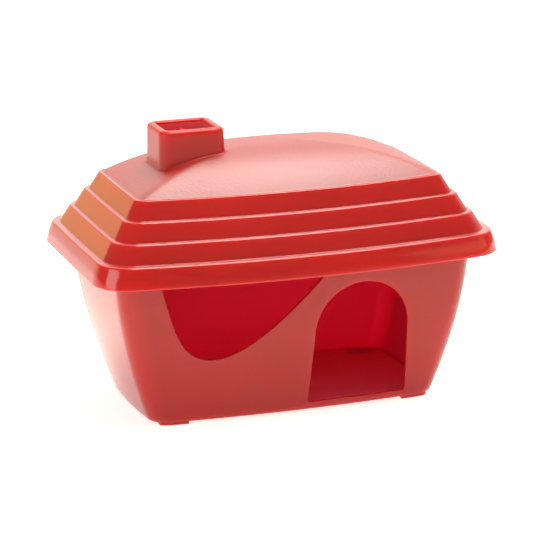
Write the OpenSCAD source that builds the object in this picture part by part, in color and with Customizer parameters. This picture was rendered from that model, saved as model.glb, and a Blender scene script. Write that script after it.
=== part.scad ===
// Two-piece plastic house for a small pet: an open tub with a doorway and a window, and a stepped
// roof with a square chimney that rests on the tub's rim and lifts straight off.
// Millimetres. X runs along the house, Y from front to back, Z up. The origin is on the ground,
// under the middle of the house.

/* [Roof skirt and steps] */
// Length of the roof along its lower edge
roof_length = 161; // [158:1:168]
// Depth of the roof, at the middle of its bowed long sides
roof_depth = 106; // [103:1:112]
// How far each long side bows outward
roof_bow = 5.3; // [4:0.1:7]
// How far each end bows outward
roof_end_bow = 0.2; // [0.1:0.1:2]
// Radius of the lower edge's corners
skirt_corner_r = 14.9; // [14.4:0.1:17]
// Height of the lower edge above the ground
skirt_bottom = 59; // [58:0.5:60]
// Height of the upright skirt
skirt_height = 8.1; // [7.6:0.1:9]
// How far the skirt flares outward on its way down
skirt_flare = 2.3; // [1.5:0.1:2.6]
// How far the middle of the skirt's face bulges outward
skirt_bulge = 0.28; // [0:0.02:0.4]
// Width of the ledge on top of the skirt
skirt_ledge = 2.6; // [2:0.1:3]
// Number of sloping bands between the skirt and the dome
band_count = 3; // [2:1:3]
// Rise of each band
band_rise = 6.85; // [5:0.05:7.5]
// How far each band leans inward over its rise
band_lean = 3.9; // [3:0.1:4.2]
// Width of the ledge on top of each band
band_ledge = 1.4; // [1:0.1:1.6]
// Thickness of the roof
roof_wall = 2; // [1.6:0.1:2.2]

/* [Dome] */
// Width of the ledge round the dome
dome_ledge = 0.9; // [0.5:0.1:1.2]
// Rise of the dome above the top band
dome_rise = 13; // [10:0.5:16]
// Fullness of the dome: 2 is a parabola, and more is flatter on top
dome_fullness = 2.4; // [2:0.01:3]

/* [Chimney] */
// Middle of the chimney along the ridge
chimney_x = -33.4; // [-35:0.2:-30]
// Length of the chimney along the house
chimney_length = 25.5; // [22:0.5:26]
// Depth of the chimney from front to back
chimney_depth = 23; // [20:0.2:24]
// Height of the chimney's rim above the ground
chimney_top = 109; // [107:0.2:112]
// Thickness of the chimney's walls
chimney_wall = 3.4; // [2.4:0.1:3.6]
// How much wider each side of the chimney is at its foot
chimney_flare = 0.2; // [0:0.1:1]
// Thickness of the rib across the chimney's mouth
rib_width = 1.8; // [1.4:0.1:2.4]
// Depth of the rib's top below the rim
rib_drop = 2.7; // [1:0.1:5]
// Height of the rib
rib_height = 6; // [3:0.5:8]

/* [Tub] */
// Length of the tub at its bottom
tub_base_length = 117.2; // [112:0.2:120]
// Depth of the tub at its bottom, at the middle of its bowed long sides
tub_base_depth = 65.6; // [62:0.2:68]
// Length of the tub under the skirt
tub_top_length = 142; // [137:0.2:143]
// Depth of the tub under the skirt, at the middle of its bowed long sides
tub_top_depth = 85.4; // [82:0.2:87]
// How full the sides are: 1 leans straight out, and more rounds out nearer the bottom
tub_fullness = 1.66; // [1.2:0.01:2]
// Thickness of the tub's walls
tub_wall = 1.6; // [1.4:0.1:2]
// Thickness of the tub's floor
floor_thickness = 1.2; // [1:0.1:1.6]
// Height of the lip under the edge of the floor
lip_height = 0.4; // [0.2:0.1:0.6]
// Height of the four feet below the lip
foot_height = 1.1; // [0.6:0.1:1.6]
// Length of each foot along the house
foot_length = 11; // [8:0.5:14]
// Depth of each foot from front to back
foot_depth = 8; // [6:0.5:10]

/* [Doorway] */
// Middle of the doorway along the front wall
door_x = 23.6; // [22:0.2:25]
// Width of the doorway at its sill
door_width = 40.6; // [38:0.2:41]
// Width of the doorway where its arch starts
door_arch_width = 38; // [36:0.2:39]
// Height of the arch's centre above the ground
door_arch_z = 33.2; // [31:0.2:34]
// Height of the sill above the ground
sill_z = 4.2; // [3.6:0.1:4.2]

/* [Hidden] */

ARC_STEPS = 6;
LONG_STEPS = 12;
SHORT_STEPS = 4;
DOME_STEPS = 9;
WALL_STEPS = 10;
CURVE_STEPS = 12;
ROUND_FN = 96;

roof_color = [0.80, 0.17, 0.16];
tub_color = [0.72, 0.22, 0.20];

// Clearance between the roof and the tub's rim, and the reach of a cut past what it cuts
roof_gap = 0.3;
side_gap = 0.4;
cut_reach = 5;

// Every outline of the roof comes from its lower edge: further in, the corners are tighter
corner_tightening = 0.55;
skirt_top = skirt_bottom + skirt_height;
dome_edge_z = skirt_top + band_count * band_rise;
crown_z = dome_edge_z + dome_rise;
first_band_inset = skirt_flare + skirt_ledge;
band_end_inset = first_band_inset + band_count * band_lean + (band_count - 1) * band_ledge;
dome_edge_inset = band_end_inset + dome_ledge;
dome_edge_a = roof_length / 2 - dome_edge_inset;
dome_edge_b = roof_depth / 2 - dome_edge_inset;
dome_edge_r = skirt_corner_r - corner_tightening * dome_edge_inset;
dome_centre_scale = 0.1;
// Slope of the dome at its edge, midway between its ends' and its long sides'
dome_edge_slope = dome_rise * dome_fullness * 2 / (dome_edge_a + dome_edge_b);

chimney_r = 4.2;
chimney_bore_r = 1.2;
chimney_bore_bottom = skirt_top;
// Rounding of the rim as [inset, depth below the top]
rim_rounding = [[0, 1.5], [0.45, 0.45], [1.5, 0]];

// The tub's walls end in a rim that carries the roof inside the skirt
tub_wall_top = skirt_bottom + 2;
tub_bottom = foot_height;
floor_bottom = tub_bottom + lip_height;
floor_top = floor_bottom + floor_thickness;
rim_top = skirt_top - roof_wall - roof_gap;
rim_thickness = 1.8;
tub_base_bow = 2.5;
tub_top_bow = 4.8;
tub_base_end_bow = 1.1;
tub_top_end_bow = 0.3;
tub_base_r = 8;
tub_top_r = 9;
lip_width = 1.6;
edge_round = 0.4;
floor_fillet = 1.5;
foot_inset = 4.4;

// The window's lowest point, its upper corners, and the handles of the curves between them
window_low = [-34.5, 26.5];
window_left = [-56.6, 61.5];
window_right = [11.7, 61.5];
window_left_handles = [[-49, 26.5], [-50.5, 40]];
window_right_handles = [[-23.3, 26.5], [-6.5, 41]];
// The cuts for the doorway and the window start here, inside the tub, and run out to the front
front_cut_start = -tub_base_depth / 3;

// A closed outline, half as long as a and half as deep as b, with arcs of radius r at its corners.
// Its long sides bow outward by bow, and its short ends by end_bow. It starts on the +X, +Y corner,
// and a straight side has no points between its corners.
function side_angle(reach, bow) = atan(2 * bow / reach);
function outline(a, b, r, bow, end_bow) =
    let (cx = a - end_bow - r)
    let (cy = b - bow - r)
    let (from = side_angle(cy, end_bow))
    let (to = 90 - side_angle(cx, bow))
    let (corner = [for (i = [0:ARC_STEPS])
        let (angle = from + (to - from) * i / ARC_STEPS)
        [cx + r * cos(angle), cy + r * sin(angle)]])
    let (long_side = bow == 0 ? [] : [for (i = [1:LONG_STEPS - 1])
        let (x = cx * (1 - 2 * i / LONG_STEPS))
        let (lean = side_angle(cx, bow) * x / cx)
        [x + r * sin(lean), cy + bow * (1 - pow(x / cx, 2)) + r * cos(lean)]])
    let (short_side = end_bow == 0 ? [] : [for (i = [1:SHORT_STEPS - 1])
        let (y = cy * (1 - 2 * i / SHORT_STEPS))
        let (lean = side_angle(cy, end_bow) * y / cy)
        [-(cx + end_bow * (1 - pow(y / cy, 2)) + r * cos(lean)), y + r * sin(lean)]])
    let (next_corner = [for (i = [ARC_STEPS:-1:0]) [-corner[i][0], corner[i][1]]])
    let (half = concat(corner, long_side, next_corner, short_side))
    concat(half, [for (p = half) -p]);

function at_height(points, z) = [for (p = points) [p[0], p[1], z]];
function between(low, high, part) = low + (high - low) * part;

function roof_outline(inset) =
    outline(
        roof_length / 2 - inset,
        roof_depth / 2 - inset,
        skirt_corner_r - corner_tightening * inset,
        roof_bow,
        roof_end_bow);

// How far out a point is on the dome, from 0 at its middle to 1 at its edge
function dome_scale_at(x, y) =
    let (cx = dome_edge_a - dome_edge_r)
    let (bowed = sqrt(y * y + 4 * dome_edge_b * roof_bow * x * x / (cx * cx)))
    max(abs(x) / dome_edge_a, (abs(y) + bowed) / (2 * dome_edge_b));
function dome_height(x, y) = crown_z - dome_rise * pow(dome_scale_at(x, y), dome_fullness);

// A profile is a list of [inset, z], running up the outside of the roof. Its inside follows it,
// one wall thickness away.
function unit(v) = v / norm(v);
function inward(step) = let (d = unit(step)) [d[1], -d[0]];
function mitred(point, n1, n2) = point + roof_wall * (n1 + n2) / (1 + n1 * n2);
function inside_profile(profile) =
    let (last = len(profile) - 1)
    [for (i = [0:last])
        let (n2 = inward(i == last ? [1, dome_edge_slope] : profile[i + 1] - profile[i]))
        i == 0
            ? profile[0] + [roof_wall / n2[0], 0]
            : mitred(profile[i], inward(profile[i] - profile[i - 1]), n2)];

function band_profile(band) =
    let (start = first_band_inset + band * (band_lean + band_ledge))
    let (z = skirt_top + band * band_rise)
    [[start, z], [start + band_lean, z + band_rise]];
function roof_profile() = [
    [0, skirt_bottom],
    [skirt_flare / 2 - skirt_bulge, (skirt_bottom + skirt_top) / 2],
    [skirt_flare, skirt_top],
    for (band = [0:band_count - 1]) each band_profile(band),
    [dome_edge_inset, dome_edge_z]];

function profile_rings(profile) = [for (p = profile) at_height(roof_outline(p[0]), p[1])];
function dome_rings(inset, edge_z, top_z) =
    [for (i = [1:DOME_STEPS])
        let (s = 1 - (1 - dome_centre_scale) * i / DOME_STEPS)
        at_height(s * roof_outline(inset), top_z - (top_z - edge_z) * pow(s, dome_fullness))];

// Triangles between each ring of a stack and the next, all with the same number of points
function ring_sides(ring_count, count) =
    [for (k = [0:ring_count - 2])
        for (i = [0:count - 1])
            let (j = (i + 1) % count)
            let (low = k * count)
            let (high = low + count)
            each [[low + i, high + i, high + j], [low + i, high + j, low + j]]];

// A solid skinned over a stack of rings, closed by its end rings
module skinned(rings) {
    count = len(rings[0]);
    first_end = [for (i = [0:count - 1]) i];
    last_end = [for (i = [count - 1:-1:0]) (len(rings) - 1) * count + i];
    points = [for (ring = rings) each ring];
    polyhedron(points, concat([first_end], ring_sides(len(rings), count), [last_end]));
}

module roof_shell() {
    outside = roof_profile();
    inside = inside_profile(outside);
    inner_edge = inside[len(inside) - 1];
    outer_rings = concat(profile_rings(outside), dome_rings(dome_edge_inset, dome_edge_z, crown_z));
    inner_dome = dome_rings(inner_edge[0], inner_edge[1], crown_z - roof_wall);
    inner_rings = concat(profile_rings(inside), inner_dome);
    skinned(concat([for (i = [len(inner_rings) - 1:-1:0]) inner_rings[i]], outer_rings));
}

function chimney_outline(grow) = [
    for (p = outline(chimney_length / 2 + grow, chimney_depth / 2 + grow, chimney_r + min(grow, 0), 0, 0))
        p + [chimney_x, 0]];

// The chimney starts inside the dome's thickness and follows its slope
module chimney_block() {
    function sunk(p) = [p[0], p[1], dome_height(p[0], p[1]) - roof_wall / 2];
    foot = [for (p = chimney_outline(chimney_flare)) sunk(p)];
    rim = [for (level = rim_rounding) at_height(chimney_outline(-level[0]), chimney_top - level[1])];
    rings = concat([foot], rim);
    count = len(foot);
    middle = len(rings) * count;
    points = concat([for (ring = rings) each ring], [sunk([chimney_x, 0])]);
    underside = [for (i = [0:count - 1]) [i, (i + 1) % count, middle]];
    top = [for (i = [count - 1:-1:0]) (len(rings) - 1) * count + i];
    polyhedron(points, concat(underside, ring_sides(len(rings), count), [top]));
}

module chimney_bore() {
    translate([chimney_x, 0, chimney_bore_bottom])
        linear_extrude(chimney_top - chimney_bore_bottom + cut_reach)
            polygon(outline(
                chimney_length / 2 - chimney_wall, chimney_depth / 2 - chimney_wall, chimney_bore_r, 0, 0));
}

module chimney_rib() {
    translate([chimney_x, 0, chimney_top - rib_drop - rib_height / 2])
        cube([rib_width, chimney_depth - chimney_wall, rib_height], center = true);
}

module roof() {
    color(roof_color)
        union() {
            difference() {
                union() {
                    roof_shell();
                    chimney_block();
                }
                chimney_bore();
            }
            chimney_rib();
        }
}

// Outline of the tub's outside at a height, moved inward by inset
function tub_height_part(z) = min(max((z - tub_bottom) / (tub_wall_top - tub_bottom), 0), 1);
function tub_outline(z, inset = 0) =
    let (part = 1 - pow(1 - tub_height_part(z), tub_fullness))
    outline(
        between(tub_base_length, tub_top_length, part) / 2 - inset,
        between(tub_base_depth, tub_top_depth, part) / 2 - inset,
        between(tub_base_r, tub_top_r, part) - inset,
        between(tub_base_bow, tub_top_bow, part),
        between(tub_base_end_bow, tub_top_end_bow, part));

// Inset of the skirt's inner face at a height, along its upper half
function skirt_inner_inset(z) =
    let (inside = inside_profile(roof_profile()))
    let (low = inside[1])
    let (high = inside[2])
    between(low[0], high[0], (z - low[1]) / (high[1] - low[1]));

module tub_shell() {
    rim_edge = skirt_inner_inset(rim_top) + side_gap;
    rim_bottom = rim_top - rim_thickness;
    fillet_top = floor_top + floor_fillet;
    wall_levels = [for (i = [0:WALL_STEPS]) between(tub_bottom + edge_round, tub_wall_top, i / WALL_STEPS)];
    inner_levels = [for (z = wall_levels) if (z > fillet_top) z];
    underside = [
        at_height(tub_outline(tub_bottom, lip_width), floor_bottom),
        at_height(tub_outline(tub_bottom, lip_width), tub_bottom),
        at_height(tub_outline(tub_bottom, edge_round), tub_bottom)];
    outer_wall = [for (z = wall_levels) at_height(tub_outline(z), z)];
    rim = [
        at_height(tub_outline(tub_wall_top), rim_bottom),
        at_height(roof_outline(rim_edge), rim_bottom),
        at_height(roof_outline(rim_edge), rim_top),
        at_height(tub_outline(tub_wall_top, tub_wall), rim_top)];
    inner_wall = [for (i = [len(inner_levels) - 1:-1:0])
        at_height(tub_outline(inner_levels[i], tub_wall), inner_levels[i])];
    inner_floor = [
        at_height(tub_outline(fillet_top, tub_wall), fillet_top),
        at_height(tub_outline(floor_top, tub_wall + floor_fillet), floor_top)];
    skinned(concat(underside, outer_wall, rim, inner_wall, inner_floor));
}

// A foot under the corner on the given sides, flush with the tub's outline
module foot(side_x, side_y) {
    foot_middle_x = tub_base_length / 2 - foot_inset - foot_length / 2;
    foot_middle_y = tub_base_depth / 2 - foot_depth / 2;
    intersection() {
        linear_extrude(floor_bottom + floor_thickness / 2)
            polygon(tub_outline(tub_bottom, edge_round));
        translate([side_x * foot_middle_x, side_y * foot_middle_y, floor_top / 2])
            cube([foot_length, foot_depth, floor_top], center = true);
    }
}

// A cubic curve from one point to another, without its first point
function curve(from, handles, to) =
    [for (i = [1:CURVE_STEPS])
        let (t = i / CURVE_STEPS)
        let (u = 1 - t)
        u * u * u * from + 3 * u * u * t * handles[0] + 3 * u * t * t * handles[1] + t * t * t * to];

// Turns an upright shape's X, Y into X, Z, and carries it through the front wall only
module to_front() {
    translate([0, front_cut_start, 0])
        rotate([90, 0, 0])
            children();
}

module doorway() {
    to_front()
        linear_extrude(roof_depth / 2)
            polygon([
                [door_x - door_width / 2, sill_z],
                [door_x + door_width / 2, sill_z],
                [door_x + door_arch_width / 2, door_arch_z],
                [door_x - door_arch_width / 2, door_arch_z]]);
    to_front()
        translate([door_x, door_arch_z, 0])
            cylinder(h = roof_depth / 2, r = door_arch_width / 2, $fn = ROUND_FN);
}

// The lip stops at the doorway
module lip_gap() {
    translate([door_x - door_width / 2, -tub_base_depth, 0])
        cube([door_width, tub_base_depth - foot_depth, floor_bottom]);
}

module window() {
    left = curve(window_low, window_left_handles, window_left);
    right = curve(window_low, window_right_handles, window_right);
    to_front()
        linear_extrude(roof_depth / 2)
            polygon(concat([window_low], right, [for (i = [CURVE_STEPS - 1:-1:0]) left[i]]));
}

module tub() {
    color(tub_color)
        union() {
            difference() {
                tub_shell();
                doorway();
                lip_gap();
                window();
            }
            for (side_x = [-1, 1], side_y = [-1, 1]) {
                foot(side_x, side_y);
            }
        }
}

roof();
tub();
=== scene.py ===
"""A small red plastic pet house: a stepped roof with a chimney on an open tub, on a pale floor.

Shapes are worked out in millimetres, in the CAD frame, and make_object() turns them into metres.
"""
import math

import bmesh
import bpy
import numpy as np
from mathutils import Matrix, Vector
from mathutils.geometry import delaunay_2d_cdt


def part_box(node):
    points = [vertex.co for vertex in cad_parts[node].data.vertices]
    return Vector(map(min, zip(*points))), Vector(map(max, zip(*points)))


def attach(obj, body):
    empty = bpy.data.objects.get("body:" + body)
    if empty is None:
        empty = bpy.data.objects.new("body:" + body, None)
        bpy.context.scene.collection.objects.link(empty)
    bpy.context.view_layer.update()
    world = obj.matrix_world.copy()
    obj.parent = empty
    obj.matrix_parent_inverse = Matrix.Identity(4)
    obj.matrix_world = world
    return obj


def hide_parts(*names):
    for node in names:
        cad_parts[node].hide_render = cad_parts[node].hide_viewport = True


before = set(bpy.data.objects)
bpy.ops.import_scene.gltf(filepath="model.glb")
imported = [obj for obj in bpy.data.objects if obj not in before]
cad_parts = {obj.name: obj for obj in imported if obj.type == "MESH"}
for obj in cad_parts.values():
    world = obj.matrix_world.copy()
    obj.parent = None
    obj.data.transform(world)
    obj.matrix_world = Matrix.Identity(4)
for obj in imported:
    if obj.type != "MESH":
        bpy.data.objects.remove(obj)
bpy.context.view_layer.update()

MM = 0.001
ROOF_LOW, ROOF_HIGH = (np.array(corner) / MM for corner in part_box("roof"))
TUB_HIGH = np.array(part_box("tub")[1]) / MM

# ---- Sizes, in millimetres -------------------------------------------------------------------

# Roof: every outline comes from the lower edge, and is tighter at its corners further in
SKIRT_R = 14.9
CORNER_TIGHTENING = 0.55
ROOF_BOW, ROOF_END_BOW = 5.3, 0.2
SKIRT_HEIGHT, SKIRT_FLARE, SKIRT_LEDGE = 8.1, 2.3, 2.6
SKIRT_BULGE, BULGE_ROUND = 0.28, 8.0
BAND_COUNT = 3
BAND_RISE, BAND_LEAN, BAND_LEDGE = 6.85, 3.9, 1.4
DOME_LEDGE, DOME_STEP_ROUND = 0.9, 0.5
ROOF_WALL = 2.0
DOME_RISE, DOME_FULLNESS = 13.0, 2.4
EDGE_ROUND, STEP_ROUND, HEM_ROUND = 1.0, 0.3, 0.3
INNER_ROUND = 0.5

# Chimney: half-length, half-depth and radii of its outline, its rounded root and rim, and the rib
CHIMNEY_X = -33.4
CHIMNEY_A, CHIMNEY_B = 12.75, 11.5
CHIMNEY_R, BORE_R = 4.2, 1.2
CHIMNEY_WALL, CHIMNEY_FLARE = 3.4, 0.2
CHIMNEY_ROOT = 1.0
APRON_WIDTHS = (2.0, 1.2, 0.5)
RIM_OUTER_ROUND, RIM_INNER_ROUND, RIM_DEPTH = 1.6, 1.2, 3.0
RIB_WIDTH, RIB_DROP, RIB_HEIGHT, RIB_ROUND = 1.8, 2.7, 6.0, 0.4

# Tub: half-length, half-depth, corner radius, bow of the long sides and bow of the ends
TUB_BASE = np.array([58.6, 32.8, 8.0, 2.5, 1.1])
TUB_TOP = np.array([71.0, 42.7, 9.0, 4.8, 0.3])
TUB_FULLNESS = 1.66
TUB_WALL, FLOOR_THICKNESS = 1.6, 1.2
LIP_HEIGHT, LIP_WIDTH = 0.4, 1.6
FLOOR_FILLET, BASE_ROUND = 1.5, 0.7
LIP_INNER_ROUND, LIP_OUTER_ROUND = 0.1, 0.15
RIM_THICKNESS, RIM_ROOT = 1.8, 1.2
RIM_ROUNDS = [0, 0.4, 0.6, 0.6, 0.5, 0]
FOOT_HEIGHT, FOOT_LENGTH, FOOT_DEPTH, FOOT_INSET = 1.1, 11.0, 8.0, 4.4
FOOT_SETBACK, FOOT_CORNER, FOOT_EDGE, FOOT_ROOT = 0.3, 0.8, 0.3, 0.6

# Openings in the front wall
DOOR_X, DOOR_BASE_W, DOOR_ARCH_W, DOOR_ARCH_Z, SILL_Z = 23.6, 40.6, 38.0, 33.2, 4.2
WINDOW_LOW = (-34.5, 26.5)
WINDOW_LEFT, WINDOW_RIGHT = (-56.6, 61.5), (11.7, 61.5)
WINDOW_LEFT_HANDLES = ((-49, 26.5), (-50.5, 40))
WINDOW_RIGHT_HANDLES = ((-23.3, 26.5), (-6.5, 41))
LIP_ROUND = 0.45
OPENING_CORNER = 1.0
OPENING_SPACING = 0.5

# How finely the surfaces are drawn
ARC_STEPS, LONG_STEPS, SHORT_STEPS = 12, 72, 44
WALL_LEVELS = 46
ROUND_STEPS, ROOT_STEPS, CORNER_STEPS = 5, 8, 8
FILLET_START, FILLET_STEPS = 0.12, 8
CHIMNEY_RINGS, BORE_PARTS = 12, (0.35, 0.7)
CURVE_STEPS = 60
DOME_SPACING = 1.3

# How far the fill of a patch keeps from its border and its hole, in spacings
DOME_BORDER_GAP, DOME_HOLE_GAP, OPENING_GAP = 0.6, 0.5, 1.4

# Where edges are drawn sharp, and the floor's half-width in metres
SHARP_ANGLE = math.radians(50)
FLOOR_REACH = 12.0

# Heights and insets that follow from the sizes
SKIRT_BOTTOM = ROOF_LOW[2]
SKIRT_TOP = SKIRT_BOTTOM + SKIRT_HEIGHT
DOME_EDGE_Z = SKIRT_TOP + BAND_COUNT * BAND_RISE
CROWN_Z = DOME_EDGE_Z + DOME_RISE
CHIMNEY_TOP = ROOF_HIGH[2]
FIRST_BAND_INSET = SKIRT_FLARE + SKIRT_LEDGE
BAND_END_INSET = FIRST_BAND_INSET + BAND_COUNT * BAND_LEAN + (BAND_COUNT - 1) * BAND_LEDGE
DOME_INSET = BAND_END_INSET + DOME_LEDGE
TUB_BOTTOM = FOOT_HEIGHT
FLOOR_BOTTOM = TUB_BOTTOM + LIP_HEIGHT
FLOOR_TOP = FLOOR_BOTTOM + FLOOR_THICKNESS
TUB_WALL_TOP = SKIRT_BOTTOM + 2
WALL_LOW, WALL_HIGH = TUB_BOTTOM + BASE_ROUND, TUB_WALL_TOP + RIM_ROOT
RIM_TOP = TUB_HIGH[2]
RIM_INSET = ROOF_HIGH[0] - TUB_HIGH[0]
HEM_RISE = np.array([0, HEM_ROUND * 4])
DOME_APPROACH = np.array([DOME_INSET - DOME_STEP_ROUND / 2, DOME_EDGE_Z])

# ---- Looks -----------------------------------------------------------------------------------

ROOF_RED = (0.38, 0.010, 0.007)
# Painted shade: the grained dome is darker than the rest of the roof, so that it does not come out too
# bright where it faces the lamp above
DOME_PAINTED_SHADE_RED = (0.29, 0.012, 0.005)
# Painted light: the bore is paler and pinker than the roof's red, standing in for light coming into it and
# through its walls
BORE_PAINTED_LIGHT_RED = (0.52, 0.10, 0.12)
TUB_RED = (0.42, 0.010, 0.007)
# Painted shade: the inside walls get a bluer crimson, standing in for the shaded inside lit through the red
# walls
INSIDE_PAINTED_SHADE_CRIMSON = (0.33, 0.042, 0.115)
# Painted shade: the floor inside the tub gets a lighter, bluer crimson, standing in for the shaded floor
# lit through the door and walls
TUB_FLOOR_PAINTED_SHADE_CRIMSON = (0.42, 0.13, 0.25)
# The second light travel, used only inside the tub, is bluer as part of that painted shade
RED_GLOW, INSIDE_PAINTED_SHADE_GLOW = (1.0, 0.1, 0.1), (1.0, 0.2, 0.35)
GLOW_DEPTH = 0.009
PLASTIC_IOR = 1.5
FLOW_SCALE, FLOW_DETAIL = 22, 3
SKIN_SCALE, GRAIN_SCALE, SKIN_DETAIL = 160, 900, 2
SKIN_BUMP, BUMP_DEPTH = 0.02, 0.0002
FLOOR_DARK, FLOOR_LIGHT = (0.57, 0.55, 0.485, 1), (0.61, 0.59, 0.525, 1)
FLOOR_GLOW, FLOOR_GLOW_STRENGTH = (1, 0.99, 0.96, 1), 0.76

# Lights and camera, in metres and degrees. Azimuth 0 is in front, and 90 to the right
LIGHT_TARGET = Vector((0, 0, 0.05))
BRIGHT_SIDE, BRIGHT_FROM, BRIGHT_TO = (0.3, 0.65, 0.7), 0.62, 0.88
WORLD_DIM, WORLD_BRIGHT = 0.28, 2.1
WORLD_COLOUR = (1.0, 0.97, 0.91, 1)
CAMERA_AZIMUTH, CAMERA_ELEVATION, CAMERA_ROLL = -18.84, 15.48, -0.53
CAMERA_TARGET, CAMERA_DISTANCE = (0.00089, 0.0, 0.04744), 1.0411
CAMERA_LENS = 177.0

# The materials of each piece, in order
GLOSS = 0
GRAINED, SATIN, BORE = 1, 2, 3
INSIDE, TUB_FLOOR = 1, 2


# ---- Outlines and profiles -------------------------------------------------------------------

def outline(a, b, r, bow, end_bow, arc=ARC_STEPS, long=LONG_STEPS, short=SHORT_STEPS):
    """A closed outline with bowed sides and round corners, counter-clockwise from the +X, +Y corner."""
    cx, cy = a - end_bow - r, b - bow - r
    turn = np.linspace(math.atan(2 * end_bow / cy), math.pi / 2 - math.atan(2 * bow / cx), arc + 1)
    corner = np.c_[cx + r * np.cos(turn), cy + r * np.sin(turn)]
    x = cx * np.linspace(1, -1, long + 1)[1:-1]
    lean = np.arctan(2 * bow * x / cx ** 2)
    long_side = np.c_[x + r * np.sin(lean), cy + bow * (1 - (x / cx) ** 2) + r * np.cos(lean)]
    y = cy * np.linspace(1, -1, short + 1)[1:-1]
    lean = np.arctan(2 * end_bow * y / cy ** 2)
    short_side = np.c_[-(cx + end_bow * (1 - (y / cy) ** 2) + r * np.cos(lean)), y + r * np.sin(lean)]
    half = np.vstack([corner, long_side, corner[::-1] * [-1, 1], short_side])
    return np.vstack([half, -half])


FRONT_START = 2 * (ARC_STEPS + 1) + LONG_STEPS - 1 + SHORT_STEPS - 1 + ARC_STEPS
FRONT_COLUMNS = np.arange(FRONT_START, FRONT_START + LONG_STEPS + 1)


def roof_outline(inset):
    r = SKIRT_R - CORNER_TIGHTENING * inset
    return outline(ROOF_HIGH[0] - inset, ROOF_HIGH[1] - inset, r, ROOF_BOW, ROOF_END_BOW)


def tub_form(z):
    """The five driving sizes of the tub's outline at a height."""
    part = np.clip((np.asarray(z, float) - TUB_BOTTOM) / (TUB_WALL_TOP - TUB_BOTTOM), 0, 1)
    spread = 1 - (1 - part) ** TUB_FULLNESS
    return [low + (high - low) * spread for low, high in zip(TUB_BASE, TUB_TOP)]


def tub_outline(z, inset=0.0):
    a, b, r, bow, end_bow = tub_form(z)
    return outline(a - inset, b - inset, r - inset, bow, end_bow)


def fillet_inset(z):
    """How far the fillet between the floor and the walls reaches in from the wall at a height."""
    rise = np.clip(FLOOR_FILLET - (np.asarray(z, float) - FLOOR_TOP), 0, FLOOR_FILLET)
    return FLOOR_FILLET - np.sqrt(FLOOR_FILLET ** 2 - rise ** 2)


def front_wall_y(x, z, inset):
    """Y of the front wall's face at a place seen from the front."""
    a, b, r, bow, end_bow = tub_form(z)
    a, b, r = a - inset, b - inset, r - inset
    cx, cy = a - end_bow - r, b - bow - r
    along = np.array(x, float)
    for _ in range(5):
        along = x - r * np.sin(np.arctan(2 * bow * along / cx ** 2))
    lean = np.arctan(2 * bow * along / cx ** 2)
    return -(cy + bow * (1 - (along / cx) ** 2) + r * np.cos(lean))


def bezier(points, steps):
    """A quadratic or cubic curve, its first point included."""
    t = np.linspace(0, 1, steps + 1)[:, None]
    p = [np.asarray(point, float) for point in points]
    if len(p) == 3:
        return (1 - t) ** 2 * p[0] + 2 * t * (1 - t) * p[1] + t ** 2 * p[2]
    return (1 - t) ** 3 * p[0] + 3 * t * (1 - t) ** 2 * p[1] + 3 * t ** 2 * (1 - t) * p[2] + t ** 3 * p[3]


def rounded(points, radii, steps=ROUND_STEPS, closed=False):
    """A path through 2D points, with an arc of the given radius at each corner (0 keeps it sharp)."""
    points = [np.asarray(p, float) for p in points]
    out = []
    for i, p in enumerate(points):
        at_end = not closed and i in (0, len(points) - 1)
        if at_end or radii[i] == 0:
            out.append(p)
            continue
        before, after = points[i - 1] - p, points[(i + 1) % len(points)] - p
        u, v = before / np.linalg.norm(before), after / np.linalg.norm(after)
        half = math.acos(np.clip(u @ v, -1, 1)) / 2
        reach = radii[i] / math.tan(half)
        middle = p + (u + v) / np.linalg.norm(u + v) * radii[i] / math.sin(half)
        start, end = p + u * reach - middle, p + v * reach - middle
        first = math.atan2(start[1], start[0])
        sweep = (math.atan2(end[1], end[0]) - first + math.pi) % (2 * math.pi) - math.pi
        for k in range(steps + 1):
            angle = first + sweep * k / steps
            out.append(middle + radii[i] * np.array([math.cos(angle), math.sin(angle)]))
    return np.array(out)


def evenly(path, spacing):
    """A closed path drawn again with even spacing."""
    loop = np.vstack([path, path[:1]])
    length = np.r_[0, np.cumsum(np.linalg.norm(np.diff(loop, axis=0), axis=1))]
    count = int(round(length[-1] / spacing))
    at = np.linspace(0, length[-1], count, endpoint=False)
    return np.c_[np.interp(at, length, loop[:, 0]), np.interp(at, length, loop[:, 1])]


def grown(loop, distance):
    """A closed loop moved away from its own inside."""
    along = np.roll(loop, -1, axis=0) - np.roll(loop, 1, axis=0)
    area = np.sum(loop[:, 0] * np.roll(loop[:, 1], -1) - np.roll(loop[:, 0], -1) * loop[:, 1])
    out = np.c_[along[:, 1], -along[:, 0]] * np.sign(area)
    return loop + distance * out / np.linalg.norm(out, axis=1)[:, None]


def inside(points, loop):
    """Which points lie inside a closed loop."""
    x, y = points[:, 0][:, None], points[:, 1][:, None]
    x0, y0 = loop[:, 0], loop[:, 1]
    x1, y1 = np.roll(x0, -1), np.roll(y0, -1)
    crosses = (y0 > y) != (y1 > y)
    run = np.where(y1 == y0, 1e-12, y1 - y0)
    return (np.sum(crosses & (x < x0 + (y - y0) * (x1 - x0) / run), axis=1) % 2) == 1


def clear_of(points, loop, distance):
    """Which points are further than a distance from every point of a loop."""
    gap = np.min([np.hypot(points[:, 0] - p[0], points[:, 1] - p[1]) for p in loop], axis=0)
    return gap > distance


# ---- Building a closed shell -----------------------------------------------------------------

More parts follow.
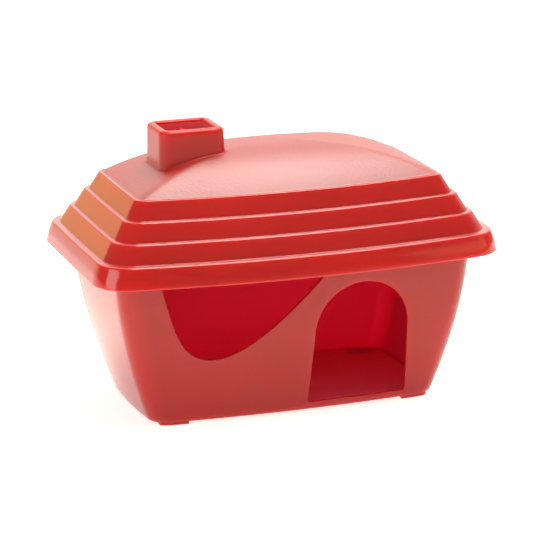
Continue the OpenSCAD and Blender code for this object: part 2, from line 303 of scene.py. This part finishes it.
class Shell:
    """Points and faces of one closed surface, each face with the index of its material."""

    def __init__(self):
        self.points, self.faces, self.materials = [], [], []

    def add(self, points):
        first = len(self.points)
        self.points.extend(np.asarray(points, float).tolist())
        return np.arange(first, len(self.points))

    def ring(self, xy, z):
        return self.add(np.c_[xy, np.broadcast_to(z, len(xy))])

    def face(self, ids, material=GLOSS):
        self.faces.append([int(i) for i in ids])
        self.materials.append(material)

    def bridge(self, one, two, material=GLOSS, skip=()):
        """Quads between two rings, but for the columns in skip."""
        count = len(one)
        skipped = set(skip)
        for i in range(count):
            if i not in skipped:
                j = (i + 1) % count
                self.face([one[i], one[j], two[j], two[i]], material)

    def bridge_all(self, rings, material=GLOSS):
        for one, two in zip(rings, rings[1:]):
            self.bridge(one, two, material)

    def patch(self, border, holes, fill, flat, material=GLOSS):
        """Triangles inside a border and around holes, all of them rings already added.

        fill holds more points, and flat picks the two axes in which the patch has no folds.
        """
        loops = [border] + holes
        known = np.concatenate(loops)
        points = np.array(self.points)[known][:, flat]
        outlines = [np.array(self.points)[loop][:, flat] for loop in loops]
        new = self.add(fill)
        everything = np.vstack([points, np.asarray(fill)[:, flat]]) if len(fill) else points
        ids = np.concatenate([known, new])
        edges, start = [], 0
        for loop in loops:
            edges += [(start + i, start + (i + 1) % len(loop)) for i in range(len(loop))]
            start += len(loop)
        found = delaunay_2d_cdt([Vector(p) for p in everything], edges, [], 0, 1e-6)
        places, triangles, sources = found[0], found[2], found[3]
        centres = np.array([np.mean([places[i] for i in tri], axis=0) for tri in triangles])
        keep = inside(centres, outlines[0])
        for hole in outlines[1:]:
            keep &= ~inside(centres, hole)
        for tri, kept in zip(triangles, keep):
            if kept:
                self.face([ids[sources[i][0]] for i in tri], material)

    def make_object(self, name, materials):
        mesh = bpy.data.meshes.new(name)
        mesh.from_pydata((np.array(self.points) * MM).tolist(), [], self.faces)
        for material in materials:
            mesh.materials.append(material)
        mesh.polygons.foreach_set("material_index", self.materials)
        work = bmesh.new()
        work.from_mesh(mesh)
        bmesh.ops.remove_doubles(work, verts=work.verts, dist=1e-3 * MM)
        loose = [v for v in work.verts if not v.link_faces]
        bmesh.ops.delete(work, geom=loose, context="VERTS")
        bmesh.ops.recalc_face_normals(work, faces=work.faces)
        work.to_mesh(mesh)
        work.free()
        mesh.polygons.foreach_set("use_smooth", [True] * len(mesh.polygons))
        piece = bpy.data.objects.new(name, mesh)
        bpy.context.scene.collection.objects.link(piece)
        return piece


def join_solids(piece, others):
    """Unites closed solids with a piece, and leaves one clean mesh."""
    for other in others:
        union = piece.modifiers.new("union", "BOOLEAN")
        union.operation, union.solver, union.object = "UNION", "EXACT", other
        bpy.context.view_layer.update()
        made = bpy.data.meshes.new_from_object(piece.evaluated_get(bpy.context.evaluated_depsgraph_get()))
        piece.modifiers.clear()
        old, name = piece.data, piece.data.name
        piece.data = made
        bpy.data.meshes.remove(old)
        piece.data.name = name
        bpy.data.objects.remove(other)
    piece.data.polygons.foreach_set("use_smooth", [True] * len(piece.data.polygons))
    piece.data.set_sharp_from_angle(angle=SHARP_ANGLE)


def rounded_bar(name, outline_xy, low, high, edge, material):
    """An upright bar with the given outline and rounded lower and upper edges."""
    shell = Shell()
    turn = np.linspace(0, math.pi / 2, ROUND_STEPS)
    levels = [(edge * (1 - math.sin(t)), low + edge * (1 - math.cos(t))) for t in turn]
    levels += [(inset, low + high - z) for inset, z in reversed(levels)]
    rings = [shell.ring(grown(outline_xy, -inset), z) for inset, z in levels]
    shell.bridge_all(rings)
    shell.face(rings[0][::-1])
    shell.face(rings[-1])
    return shell.make_object(name, [material])


# ---- The roof --------------------------------------------------------------------------------

def roof_profile():
    """The outside's corners as (inset, z), from the lower edge to the dome's edge."""
    corners = [(0.0, SKIRT_BOTTOM), (SKIRT_FLARE / 2 - SKIRT_BULGE, (SKIRT_BOTTOM + SKIRT_TOP) / 2),
               (SKIRT_FLARE, SKIRT_TOP)]
    for band in range(BAND_COUNT):
        start = FIRST_BAND_INSET + band * (BAND_LEAN + BAND_LEDGE)
        z = SKIRT_TOP + band * BAND_RISE
        corners += [(start, z), (start + BAND_LEAN, z + BAND_RISE)]
    corners.append((DOME_INSET, DOME_EDGE_Z))
    return [np.array(p) for p in corners]


def inside_profile(profile, end_direction):
    """The same corners one wall thickness further in."""
    def inward(step):
        step = step / np.linalg.norm(step)
        return np.array([step[1], -step[0]])
    steps = [inward(b - a) for a, b in zip(profile, profile[1:])] + [inward(end_direction)]
    moved = [profile[0] + np.array([ROOF_WALL / steps[0][0], 0])]
    for i in range(1, len(profile)):
        n1, n2 = steps[i - 1], steps[i]
        moved.append(profile[i] + ROOF_WALL * (n1 + n2) / (1 + n1 @ n2))
    return moved


class Dome:
    """Height over the dome, whose level lines are its edge's outline, scaled."""

    def __init__(self, edge, edge_z, top_z):
        dense = np.vstack([edge, edge[:1]])
        angle = np.unwrap(np.arctan2(dense[:, 1], dense[:, 0]))
        self.angle, self.reach = angle, np.hypot(dense[:, 0], dense[:, 1])
        self.edge_z, self.top_z = edge_z, top_z

    def height(self, xy):
        angle = (np.arctan2(xy[:, 1], xy[:, 0]) - self.angle[0]) % (2 * math.pi) + self.angle[0]
        scale = np.hypot(xy[:, 0], xy[:, 1]) / np.interp(angle, self.angle, self.reach)
        return self.top_z - (self.top_z - self.edge_z) * scale ** DOME_FULLNESS


def dome_fill(dome, border_xy, hole_xy):
    """Grid points over the dome, clear of its border and of the chimney."""
    reach_x, reach_y = np.abs(border_xy).max(axis=0)
    x = np.arange(-reach_x, reach_x, DOME_SPACING)
    y = np.arange(-reach_y, reach_y, DOME_SPACING)
    grid = np.array(np.meshgrid(x, y)).reshape(2, -1).T
    grid = grid[inside(grid, border_xy) & ~inside(grid, hole_xy)]
    grid = grid[clear_of(grid, border_xy, DOME_BORDER_GAP * DOME_SPACING)
                & clear_of(grid, hole_xy, DOME_HOLE_GAP * DOME_SPACING)]
    return np.c_[grid, dome.height(grid)]


def chimney_loop(grow):
    """The chimney's outline, grown outward, or moved in to the bore's when grow is the wall's depth."""
    r = max(CHIMNEY_R + min(grow, 0) * (CHIMNEY_R - BORE_R) / CHIMNEY_WALL, BORE_R)
    loop = outline(CHIMNEY_A + grow, CHIMNEY_B + grow, r, 0, 0, arc=8, long=24, short=22)
    return loop + [CHIMNEY_X, 0]


def curved_rings(shell, one, corner, two, steps=ROUND_STEPS):
    """Rings on a curve from one set of 3D points to another, bent towards a corner."""
    t = np.linspace(0, 1, steps + 1)[:, None, None]
    curve = (1 - t) ** 2 * one + 2 * t * (1 - t) * corner + t ** 2 * two
    return [shell.add(points) for points in curve]


def lifted(xy, z):
    return np.c_[xy, np.broadcast_to(z, len(xy))]


def add_bands(shell, outside, within):
    """The skirt and bands, up the outside and round the ledges, ending just short of the dome's edge."""
    path = [within[0] + HEM_RISE, within[0]] + outside[:-1] + [DOME_APPROACH]
    radii = [0, HEM_ROUND, HEM_ROUND, BULGE_ROUND] + [EDGE_ROUND, STEP_ROUND] * BAND_COUNT
    radii += [DOME_STEP_ROUND, 0]
    rings = [shell.ring(roof_outline(inset), z) for inset, z in rounded(path, radii)]
    shell.bridge_all(rings)
    return rings


def add_dome_edge(shell, dome):
    """The soft step from the top ledge onto the dome, whose upper half is grained."""
    onto_dome = roof_outline(DOME_INSET + DOME_STEP_ROUND)
    rings = curved_rings(
        shell,
        lifted(roof_outline(DOME_APPROACH[0]), DOME_APPROACH[1]),
        lifted(roof_outline(DOME_INSET), DOME_EDGE_Z),
        lifted(onto_dome, dome.height(onto_dome)))
    half = len(rings) // 2
    shell.bridge_all(rings[:half + 1])
    shell.bridge_all(rings[half:], GRAINED)
    return rings[-1], onto_dome


def add_chimney(shell, outer_dome, inner_dome):
    """The chimney, from an apron on the dome up over its rim and down its bore.

    Gives the apron's outer ring and outline, and the bore's lowest ring and outline.
    """
    root_xy, foot_xy = chimney_loop(CHIMNEY_FLARE + CHIMNEY_ROOT), chimney_loop(CHIMNEY_FLARE)
    aprons = [chimney_loop(CHIMNEY_FLARE + CHIMNEY_ROOT + width) for width in APRON_WIDTHS]
    apron_rings = [shell.add(lifted(xy, outer_dome.height(xy))) for xy in aprons]
    wall_start = outer_dome.height(foot_xy) + CHIMNEY_ROOT
    root_rings = curved_rings(
        shell,
        lifted(root_xy, outer_dome.height(root_xy)),
        lifted(foot_xy, outer_dome.height(foot_xy)),
        lifted(foot_xy, wall_start), ROOT_STEPS)

    wall_end = CHIMNEY_TOP - RIM_OUTER_ROUND
    wall_rings = []
    for part in np.linspace(0, 1, CHIMNEY_RINGS)[1:]:
        z = wall_start + (wall_end - wall_start) * part
        wall_rings.append(shell.ring(chimney_loop(CHIMNEY_FLARE * (1 - part)), z))

    rim_low = CHIMNEY_TOP - RIM_DEPTH
    rim_path = rounded(
        [(0, wall_end - 1), (0, CHIMNEY_TOP), (CHIMNEY_WALL, CHIMNEY_TOP), (CHIMNEY_WALL, rim_low)],
        [0, RIM_OUTER_ROUND, RIM_INNER_ROUND, 0])[2:]
    rim_rings = [shell.ring(chimney_loop(-inset), z) for inset, z in rim_path]

    bore_xy, mouth_xy = chimney_loop(-CHIMNEY_WALL), chimney_loop(STEP_ROUND - CHIMNEY_WALL)
    bore_low = inner_dome.height(bore_xy)
    bore_drop = bore_low + STEP_ROUND - rim_low
    bore_rings = [shell.ring(bore_xy, rim_low + bore_drop * part) for part in BORE_PARTS]
    mouth_rings = curved_rings(
        shell,
        lifted(bore_xy, bore_low + STEP_ROUND),
        lifted(bore_xy, bore_low),
        lifted(mouth_xy, inner_dome.height(mouth_xy)))

    shell.bridge_all(root_rings + wall_rings + rim_rings[:-1], SATIN)
    shell.bridge_all(rim_rings[-2:] + bore_rings + mouth_rings, BORE)
    shell.bridge_all(apron_rings + root_rings[:1], GRAINED)
    return apron_rings[0], aprons[0], mouth_rings[-1], mouth_xy


def add_roof_inside(shell, within, dome, first_ring, mouth_ring, mouth_xy):
    """The inside, from the lower edge up the bands, and the dome's underside round the bore."""
    path = [within[0] + HEM_RISE] + within[1:]
    radii = [0, BULGE_ROUND] + [STEP_ROUND, INNER_ROUND] * BAND_COUNT + [0, 0]
    rings = [shell.ring(roof_outline(inset), z) for inset, z in rounded(path, radii)[1:]]
    shell.bridge_all([first_ring] + rings)
    fill = dome_fill(dome, roof_outline(within[-1][0]), mouth_xy)
    shell.patch(rings[-1], [mouth_ring], fill, [0, 1])


def build_rib(material):
    """The flat rib across the chimney's mouth, let into the walls at both ends."""
    corners = np.array([(-1, -1), (1, -1), (1, 1), (-1, 1)]) * [RIB_WIDTH / 2, CHIMNEY_B - CHIMNEY_WALL / 2]
    path = rounded(corners, [RIB_ROUND] * 4, closed=True) + [CHIMNEY_X, 0]
    high = CHIMNEY_TOP - RIB_DROP
    return rounded_bar("rib", evenly(path, OPENING_SPACING), high - RIB_HEIGHT, high, RIB_ROUND, material)


def build_roof(gloss, grained, satin, bore):
    shell = Shell()
    outside = roof_profile()
    mean_reach = (ROOF_HIGH[0] + ROOF_HIGH[1]) / 2 - DOME_INSET
    within = inside_profile(outside, np.array([1.0, DOME_RISE * DOME_FULLNESS / mean_reach]))
    outer_dome = Dome(roof_outline(DOME_INSET), DOME_EDGE_Z, CROWN_Z)
    inner_dome = Dome(roof_outline(within[-1][0]), within[-1][1], CROWN_Z - ROOF_WALL)

    rings = add_bands(shell, outside, within)
    edge_ring, edge_xy = add_dome_edge(shell, outer_dome)
    apron_ring, apron_xy, mouth_ring, mouth_xy = add_chimney(shell, outer_dome, inner_dome)
    shell.patch(edge_ring, [apron_ring], dome_fill(outer_dome, edge_xy, apron_xy), [0, 1], GRAINED)
    add_roof_inside(shell, within, inner_dome, rings[0], mouth_ring, mouth_xy)

    roof = shell.make_object("roof_moulding", [gloss, grained, satin, bore])
    join_solids(roof, [build_rib(satin)])
    return roof


# ---- The tub ---------------------------------------------------------------------------------

def opening_loop(path, corners):
    """An opening's edge, evenly spaced, with its sharp corners softened."""
    loop = []
    for start, end in zip(path, np.roll(path, -1, axis=0)):
        pieces = max(1, math.ceil(np.linalg.norm(end - start) / OPENING_SPACING))
        loop += [start + (end - start) * k / pieces for k in range(pieces)]
    loop = np.array(loop)
    for corner in corners:
        nearest = np.argmin(np.linalg.norm(loop - corner, axis=1))
        loop = np.roll(loop, len(loop) // 2 - nearest, axis=0)
        near = np.flatnonzero(np.linalg.norm(loop - corner, axis=1) < OPENING_CORNER)
        before, after = near[0] - 1, near[-1] + 1
        bend = bezier([loop[before], corner, loop[after]], CORNER_STEPS)
        loop = np.vstack([loop[:before], bend, loop[after + 1:]])
    return evenly(loop, OPENING_SPACING)


def door_loop():
    left, right = (DOOR_X - DOOR_BASE_W / 2, SILL_Z), (DOOR_X + DOOR_BASE_W / 2, SILL_Z)
    turn = np.linspace(0, math.pi, CURVE_STEPS)
    arch = np.c_[DOOR_X + DOOR_ARCH_W / 2 * np.cos(turn), DOOR_ARCH_Z + DOOR_ARCH_W / 2 * np.sin(turn)]
    return opening_loop(np.vstack([left, right, arch]), [left, right])


def window_loop():
    right = bezier([WINDOW_LOW, *WINDOW_RIGHT_HANDLES, WINDOW_RIGHT], CURVE_STEPS)
    left = bezier([WINDOW_LOW, *WINDOW_LEFT_HANDLES, WINDOW_LEFT], CURVE_STEPS)[:0:-1]
    return opening_loop(np.vstack([right, left]), [WINDOW_LEFT, WINDOW_RIGHT])


def inner_inset(z):
    """How far the inside face is from the outside one at a height."""
    return TUB_WALL + fillet_inset(z)


def outer_y(x, z):
    return front_wall_y(x, z, 0.0)


def inner_y(x, z):
    return front_wall_y(x, z, inner_inset(z))


def lip_rings(shell, loop, face_y, inward):
    """Rings round an opening's edge, from inside the wall out to its face, rounded on the way."""
    rings = []
    for turn in np.linspace(0, math.pi / 2, ROUND_STEPS):
        xz = grown(loop, LIP_ROUND * (1 - math.cos(turn)))
        y = face_y(xz[:, 0], xz[:, 1]) + inward * LIP_ROUND * (1 - math.sin(turn))
        rings.append(shell.add(np.c_[xz[:, 0], y, xz[:, 1]]))
    return rings


def wall_with_openings(shell, levels, inset, holes, material=GLOSS):
    """A wall's rings over some levels, with the front side filled round its openings."""
    outlines = [tub_outline(z, inset(z)) for z in levels]
    rings = [shell.ring(xy, z) for xy, z in zip(outlines, levels)]
    front_cells = FRONT_COLUMNS[:-1]
    for one, two in zip(rings, rings[1:]):
        shell.bridge(one, two, material, skip=front_cells)
    left, right = FRONT_COLUMNS[0], FRONT_COLUMNS[-1]
    border = np.concatenate([
        rings[0][FRONT_COLUMNS],
        [ring[right] for ring in rings[1:-1]],
        rings[-1][FRONT_COLUMNS][::-1],
        [ring[left] for ring in rings[-2:0:-1]]])
    fill = np.vstack([lifted(xy[FRONT_COLUMNS[1:-1]], z)
                      for xy, z in zip(outlines[1:-1], levels[1:-1])])
    for hole in holes:
        loop = np.array(shell.points)[hole][:, [0, 2]]
        flat = fill[:, [0, 2]]
        fill = fill[~inside(flat, loop) & clear_of(flat, loop, OPENING_GAP * OPENING_SPACING)]
    shell.patch(border, holes, fill, [0, 2], material)
    return rings


def add_opening_edges(shell):
    """The edges of the door and the window, and the rings where they meet the two faces."""
    loops = [door_loop(), window_loop()]
    outer_lips = [lip_rings(shell, loop, outer_y, 1) for loop in loops]
    inner_lips = [lip_rings(shell, loop, inner_y, -1) for loop in loops]
    for outer, inner in zip(outer_lips, inner_lips):
        shell.bridge_all(outer[::-1] + inner[:1])
        shell.bridge_all(inner, INSIDE)
    return [lips[-1] for lips in outer_lips], [lips[-1] for lips in inner_lips]


def add_underside(shell):
    """The underside and the low lip round it, out to the wall's foot."""
    path = rounded(
        [(LIP_WIDTH + 1, FLOOR_BOTTOM), (LIP_WIDTH, FLOOR_BOTTOM), (LIP_WIDTH, TUB_BOTTOM), (0, TUB_BOTTOM),
         (0, WALL_LOW + 1)],
        [0, LIP_INNER_ROUND, LIP_OUTER_ROUND, BASE_ROUND, 0])[:-1]
    rings = [shell.ring(tub_outline(TUB_BOTTOM, inset), z) for inset, z in path[:-1]]
    shell.face(rings[0])
    return rings


def add_inside(shell, holes):
    """The inside's walls, down to the fillet, and the floor."""
    turn = np.linspace(FILLET_START, 1, FILLET_STEPS) * math.pi / 2
    fillet_levels = FLOOR_TOP + FLOOR_FILLET * (1 - np.cos(turn))
    levels = np.r_[fillet_levels, np.linspace(fillet_levels[-1], WALL_HIGH, WALL_LEVELS)[1:]]
    walls = wall_with_openings(shell, levels, inner_inset, holes, INSIDE)
    floor_edge = [shell.ring(tub_outline(FLOOR_TOP, TUB_WALL + FLOOR_FILLET + more), FLOOR_TOP)
                  for more in (0.0, 1.0)]
    shell.bridge_all([walls[0]] + floor_edge, TUB_FLOOR)
    shell.face(floor_edge[-1], TUB_FLOOR)
    return walls


def add_rim(shell, outer_ring, inner_ring):
    """The rim, which runs out from the wall to inside the skirt, where it has the skirt's outline."""
    wall_xy, edge_xy = tub_outline(TUB_WALL_TOP), roof_outline(RIM_INSET)
    within_wall = tub_outline(TUB_WALL_TOP, TUB_WALL)
    reach = TUB_HIGH[0] - TUB_TOP[0]
    path = rounded(
        [(0, WALL_HIGH), (0, RIM_TOP - RIM_THICKNESS), (reach, RIM_TOP - RIM_THICKNESS), (reach, RIM_TOP),
         (-TUB_WALL, RIM_TOP), (-TUB_WALL, WALL_HIGH)],
        RIM_ROUNDS)
    rings = []
    for out, z in path[1:-1]:
        if out >= 0:
            xy = wall_xy + (edge_xy - wall_xy) * out / reach
        else:
            xy = wall_xy + (within_wall - wall_xy) * -out / TUB_WALL
        rings.append(shell.ring(xy, z))
    shell.bridge_all([outer_ring] + rings + [inner_ring])


def build_foot(side_x, side_y, material):
    """A corner foot, flush with the tub's outline."""
    setback = [FOOT_SETBACK] * 3 + [0, 0]
    base = outline(*(TUB_BASE - setback), arc=10, long=80, short=60)
    high_x, low_y = TUB_BASE[0] - FOOT_INSET, TUB_BASE[1] - FOOT_DEPTH
    low_x = high_x - FOOT_LENGTH
    keep = base[(base[:, 0] > low_x) & (base[:, 0] < high_x) & (base[:, 1] > low_y)]
    corners = [(high_x, low_y), *keep, (low_x, keep[-1][1]), (low_x, low_y)]
    radii = [FOOT_CORNER] + [0] * (len(corners) - 2) + [FOOT_CORNER]
    loop = evenly(rounded(corners, radii, closed=True), OPENING_SPACING)
    name = "foot_" + ("r" if side_x > 0 else "l") + ("b" if side_y > 0 else "f")
    return rounded_bar(name, loop * [side_x, side_y], 0.0, FLOOR_BOTTOM + FOOT_ROOT, FOOT_EDGE, material)


def build_tub(gloss, inside_matte, floor_matte):
    shell = Shell()
    outer_holes, inner_holes = add_opening_edges(shell)
    underside = add_underside(shell)
    levels = np.linspace(WALL_LOW, WALL_HIGH, WALL_LEVELS)
    outer = wall_with_openings(shell, levels, lambda z: 0.0, outer_holes)
    shell.bridge_all(underside + [outer[0]])
    inner = add_inside(shell, inner_holes)
    add_rim(shell, outer[-1], inner[-1])

    tub = shell.make_object("tub_moulding", [gloss, inside_matte, floor_matte])
    join_solids(tub, [build_foot(x, y, gloss) for x in (-1, 1) for y in (-1, 1)])
    return tub


# ---- Materials -------------------------------------------------------------------------------

def new_material(name):
    material = bpy.data.materials.new(name)
    material.use_nodes = True
    nodes, links = material.node_tree.nodes, material.node_tree.links
    return material, nodes, links, nodes["Principled BSDF"]


def moulded_plastic(name, colour, roughness, specular=0.5, glow=RED_GLOW, grain=0.0):
    """Moulded polypropylene: even colour with faint flow marks, and a grain where grain is set.

    glow is how far red, green and blue light travel inside it, as shares of GLOW_DEPTH.
    """
    material, nodes, links, shader = new_material(name)
    place = nodes.new("ShaderNodeTexCoord")
    flow = nodes.new("ShaderNodeTexNoise")
    flow.inputs["Scale"].default_value = FLOW_SCALE
    flow.inputs["Detail"].default_value = FLOW_DETAIL
    links.new(place.outputs["Object"], flow.inputs["Vector"])
    tint = nodes.new("ShaderNodeValToRGB")
    tint.color_ramp.elements[0].position, tint.color_ramp.elements[1].position = 0.3, 0.7
    tint.color_ramp.elements[0].color = (*[c * 0.93 for c in colour], 1)
    tint.color_ramp.elements[1].color = (*[c * 1.06 for c in colour], 1)
    links.new(flow.outputs["Fac"], tint.inputs["Fac"])
    links.new(tint.outputs["Color"], shader.inputs["Base Color"])
    rough = nodes.new("ShaderNodeMapRange")
    rough.inputs["To Min"].default_value = roughness * 0.85
    rough.inputs["To Max"].default_value = roughness * 1.15
    links.new(flow.outputs["Fac"], rough.inputs["Value"])
    links.new(rough.outputs["Result"], shader.inputs["Roughness"])
    shader.inputs["IOR"].default_value = PLASTIC_IOR
    shader.inputs["Specular IOR Level"].default_value = specular
    shader.inputs["Subsurface Weight"].default_value = 1.0
    shader.inputs["Subsurface Radius"].default_value = glow
    shader.inputs["Subsurface Scale"].default_value = GLOW_DEPTH
    skin = nodes.new("ShaderNodeTexNoise")
    skin.inputs["Scale"].default_value = GRAIN_SCALE if grain else SKIN_SCALE
    skin.inputs["Detail"].default_value = SKIN_DETAIL
    links.new(place.outputs["Object"], skin.inputs["Vector"])
    bump = nodes.new("ShaderNodeBump")
    bump.inputs["Strength"].default_value = max(grain, SKIN_BUMP)
    bump.inputs["Distance"].default_value = BUMP_DEPTH
    links.new(skin.outputs["Fac"], bump.inputs["Height"])
    links.new(bump.outputs["Normal"], shader.inputs["Normal"])
    return material


def floor_material():
    """A pale, even backdrop, lit a little from within so that shadows on it stay faint."""
    material, nodes, links, shader = new_material("pale_floor")
    place = nodes.new("ShaderNodeTexCoord")
    cloud = nodes.new("ShaderNodeTexNoise")
    cloud.inputs["Scale"].default_value = 1.5
    links.new(place.outputs["Object"], cloud.inputs["Vector"])
    tint = nodes.new("ShaderNodeValToRGB")
    tint.color_ramp.elements[0].color = FLOOR_DARK
    tint.color_ramp.elements[1].color = FLOOR_LIGHT
    links.new(cloud.outputs["Fac"], tint.inputs["Fac"])
    links.new(tint.outputs["Color"], shader.inputs["Base Color"])
    shader.inputs["Roughness"].default_value = 0.9
    shader.inputs["Emission Color"].default_value = FLOOR_GLOW
    shader.inputs["Emission Strength"].default_value = FLOOR_GLOW_STRENGTH
    return material


# ---- Stage, light and camera -----------------------------------------------------------------

def direction(azimuth, elevation):
    """The unit vector towards a place, both angles in degrees."""
    around, up = math.radians(azimuth), math.radians(elevation)
    return Vector((math.sin(around) * math.cos(up), -math.cos(around) * math.cos(up), math.sin(up)))


def build_floor():
    mesh = bpy.data.meshes.new("floor")
    corners = [(x * FLOOR_REACH, y * FLOOR_REACH, 0) for x, y in ((-1, -1), (1, -1), (1, 1), (-1, 1))]
    mesh.from_pydata(corners, [], [(0, 1, 2, 3)])
    mesh.materials.append(floor_material())
    floor = bpy.data.objects.new("floor", mesh)
    bpy.context.scene.collection.objects.link(floor)


def area_light(name, azimuth, elevation, distance, size, radiance, colour):
    """A soft panel that faces the object and that the camera doesn't see."""
    place = direction(azimuth, elevation) * distance
    light = bpy.data.lights.new(name, "AREA")
    light.shape, light.size, light.size_y = "RECTANGLE", size[0], size[1]
    light.energy, light.color = radiance * math.pi * size[0] * size[1], colour
    lamp = bpy.data.objects.new(name, light)
    lamp.location = place + LIGHT_TARGET
    lamp.rotation_euler = (-place).to_track_quat("-Z", "Y").to_euler()
    lamp.visible_camera = False
    bpy.context.scene.collection.objects.link(lamp)


def build_lights():
    """A large panel above, one low at the left, a weak warm one at the right, and a warm wall behind."""
    area_light("overhead", 80, 77, 1.45, (1.35, 0.9), 8.5, (1.0, 1.0, 0.93))
    area_light("left", -75, 16, 1.1, (0.62, 0.62), 3.9, (1.0, 0.97, 0.91))
    area_light("right", 56, 13, 1.5, (1.2, 0.5), 0.8, (1.0, 1.0, 0.5))
    area_light("warm_wall", -160, 5.8, 2.0, (2.05, 0.40), 1.15, (1.0, 0.9, 0.3))


def build_world():
    """A studio that is bright above and behind the object, and dim in front of it and to its left."""
    world = bpy.data.worlds.new("studio")
    world.use_nodes = True
    nodes, links = world.node_tree.nodes, world.node_tree.links
    place = nodes.new("ShaderNodeTexCoord")
    toward = nodes.new("ShaderNodeVectorMath")
    toward.operation = "DOT_PRODUCT"
    toward.inputs[1].default_value = Vector(BRIGHT_SIDE).normalized()
    links.new(place.outputs["Generated"], toward.inputs[0])
    ramp = nodes.new("ShaderNodeMapRange")
    ramp.interpolation_type = "SMOOTHSTEP"
    ramp.inputs["From Min"].default_value = BRIGHT_FROM
    ramp.inputs["From Max"].default_value = BRIGHT_TO
    ramp.inputs["To Min"].default_value = WORLD_DIM
    ramp.inputs["To Max"].default_value = WORLD_BRIGHT
    links.new(toward.outputs["Value"], ramp.inputs["Value"])
    background = nodes["Background"]
    background.inputs["Color"].default_value = WORLD_COLOUR
    links.new(ramp.outputs["Result"], background.inputs["Strength"])
    bpy.context.scene.world = world


def build_camera():
    back = direction(CAMERA_AZIMUTH, CAMERA_ELEVATION)
    roll = math.radians(CAMERA_ROLL)
    level = Vector((0, 0, 1)).cross(back).normalized()
    upright = back.cross(level)
    right = level * math.cos(roll) + upright * math.sin(roll)
    up = upright * math.cos(roll) - level * math.sin(roll)
    camera = bpy.data.objects.new("camera", bpy.data.cameras.new("camera"))
    camera.data.lens, camera.data.sensor_width = CAMERA_LENS, 36.0
    turn = Matrix((right, up, back)).transposed().to_4x4()
    camera.matrix_world = Matrix.Translation(Vector(CAMERA_TARGET) + back * CAMERA_DISTANCE) @ turn
    camera.data.clip_start, camera.data.clip_end = 0.01, 100
    bpy.context.scene.collection.objects.link(camera)
    bpy.context.scene.camera = camera


# ---- The scene -------------------------------------------------------------------------------

build_camera()
build_floor()
build_world()
build_lights()

roof_gloss = moulded_plastic("roof_gloss", ROOF_RED, 0.12)
# The dome's grain is a real bump; its darker red is painted shade
roof_grain_painted_shade = moulded_plastic("roof_grain_painted_shade", DOME_PAINTED_SHADE_RED, 0.42, specular=0.9, grain=0.6)
chimney_satin = moulded_plastic("chimney_satin", ROOF_RED, 0.3, specular=0.28)
# Painted light: the chimney's bore is the roof's plastic, given a paler red in place of the light inside it
chimney_bore = moulded_plastic("chimney_bore", BORE_PAINTED_LIGHT_RED, 0.4)
roof = build_roof(roof_gloss, roof_grain_painted_shade, chimney_satin, chimney_bore)
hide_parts("roof")
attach(roof, "roof_body")

tub_gloss = moulded_plastic("tub_gloss", TUB_RED, 0.12, specular=0.39)
# Painted shade: the tub's inside is the same plastic, given a crimson in place of the shade and
# through-light inside it
tub_inside_painted_shade = moulded_plastic("tub_inside_painted_shade", INSIDE_PAINTED_SHADE_CRIMSON, 0.5, specular=0.15, glow=INSIDE_PAINTED_SHADE_GLOW)
# Painted shade: the inside floor is the same plastic, given its own crimson in place of the light and shade
# on it
tub_floor_painted_shade = moulded_plastic("tub_floor_painted_shade", TUB_FLOOR_PAINTED_SHADE_CRIMSON, 0.5, specular=0.15)
tub = build_tub(tub_gloss, tub_inside_painted_shade, tub_floor_painted_shade)
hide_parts("tub")
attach(tub, "tub_body")

bpy.context.scene.view_settings.view_transform = "Standard"
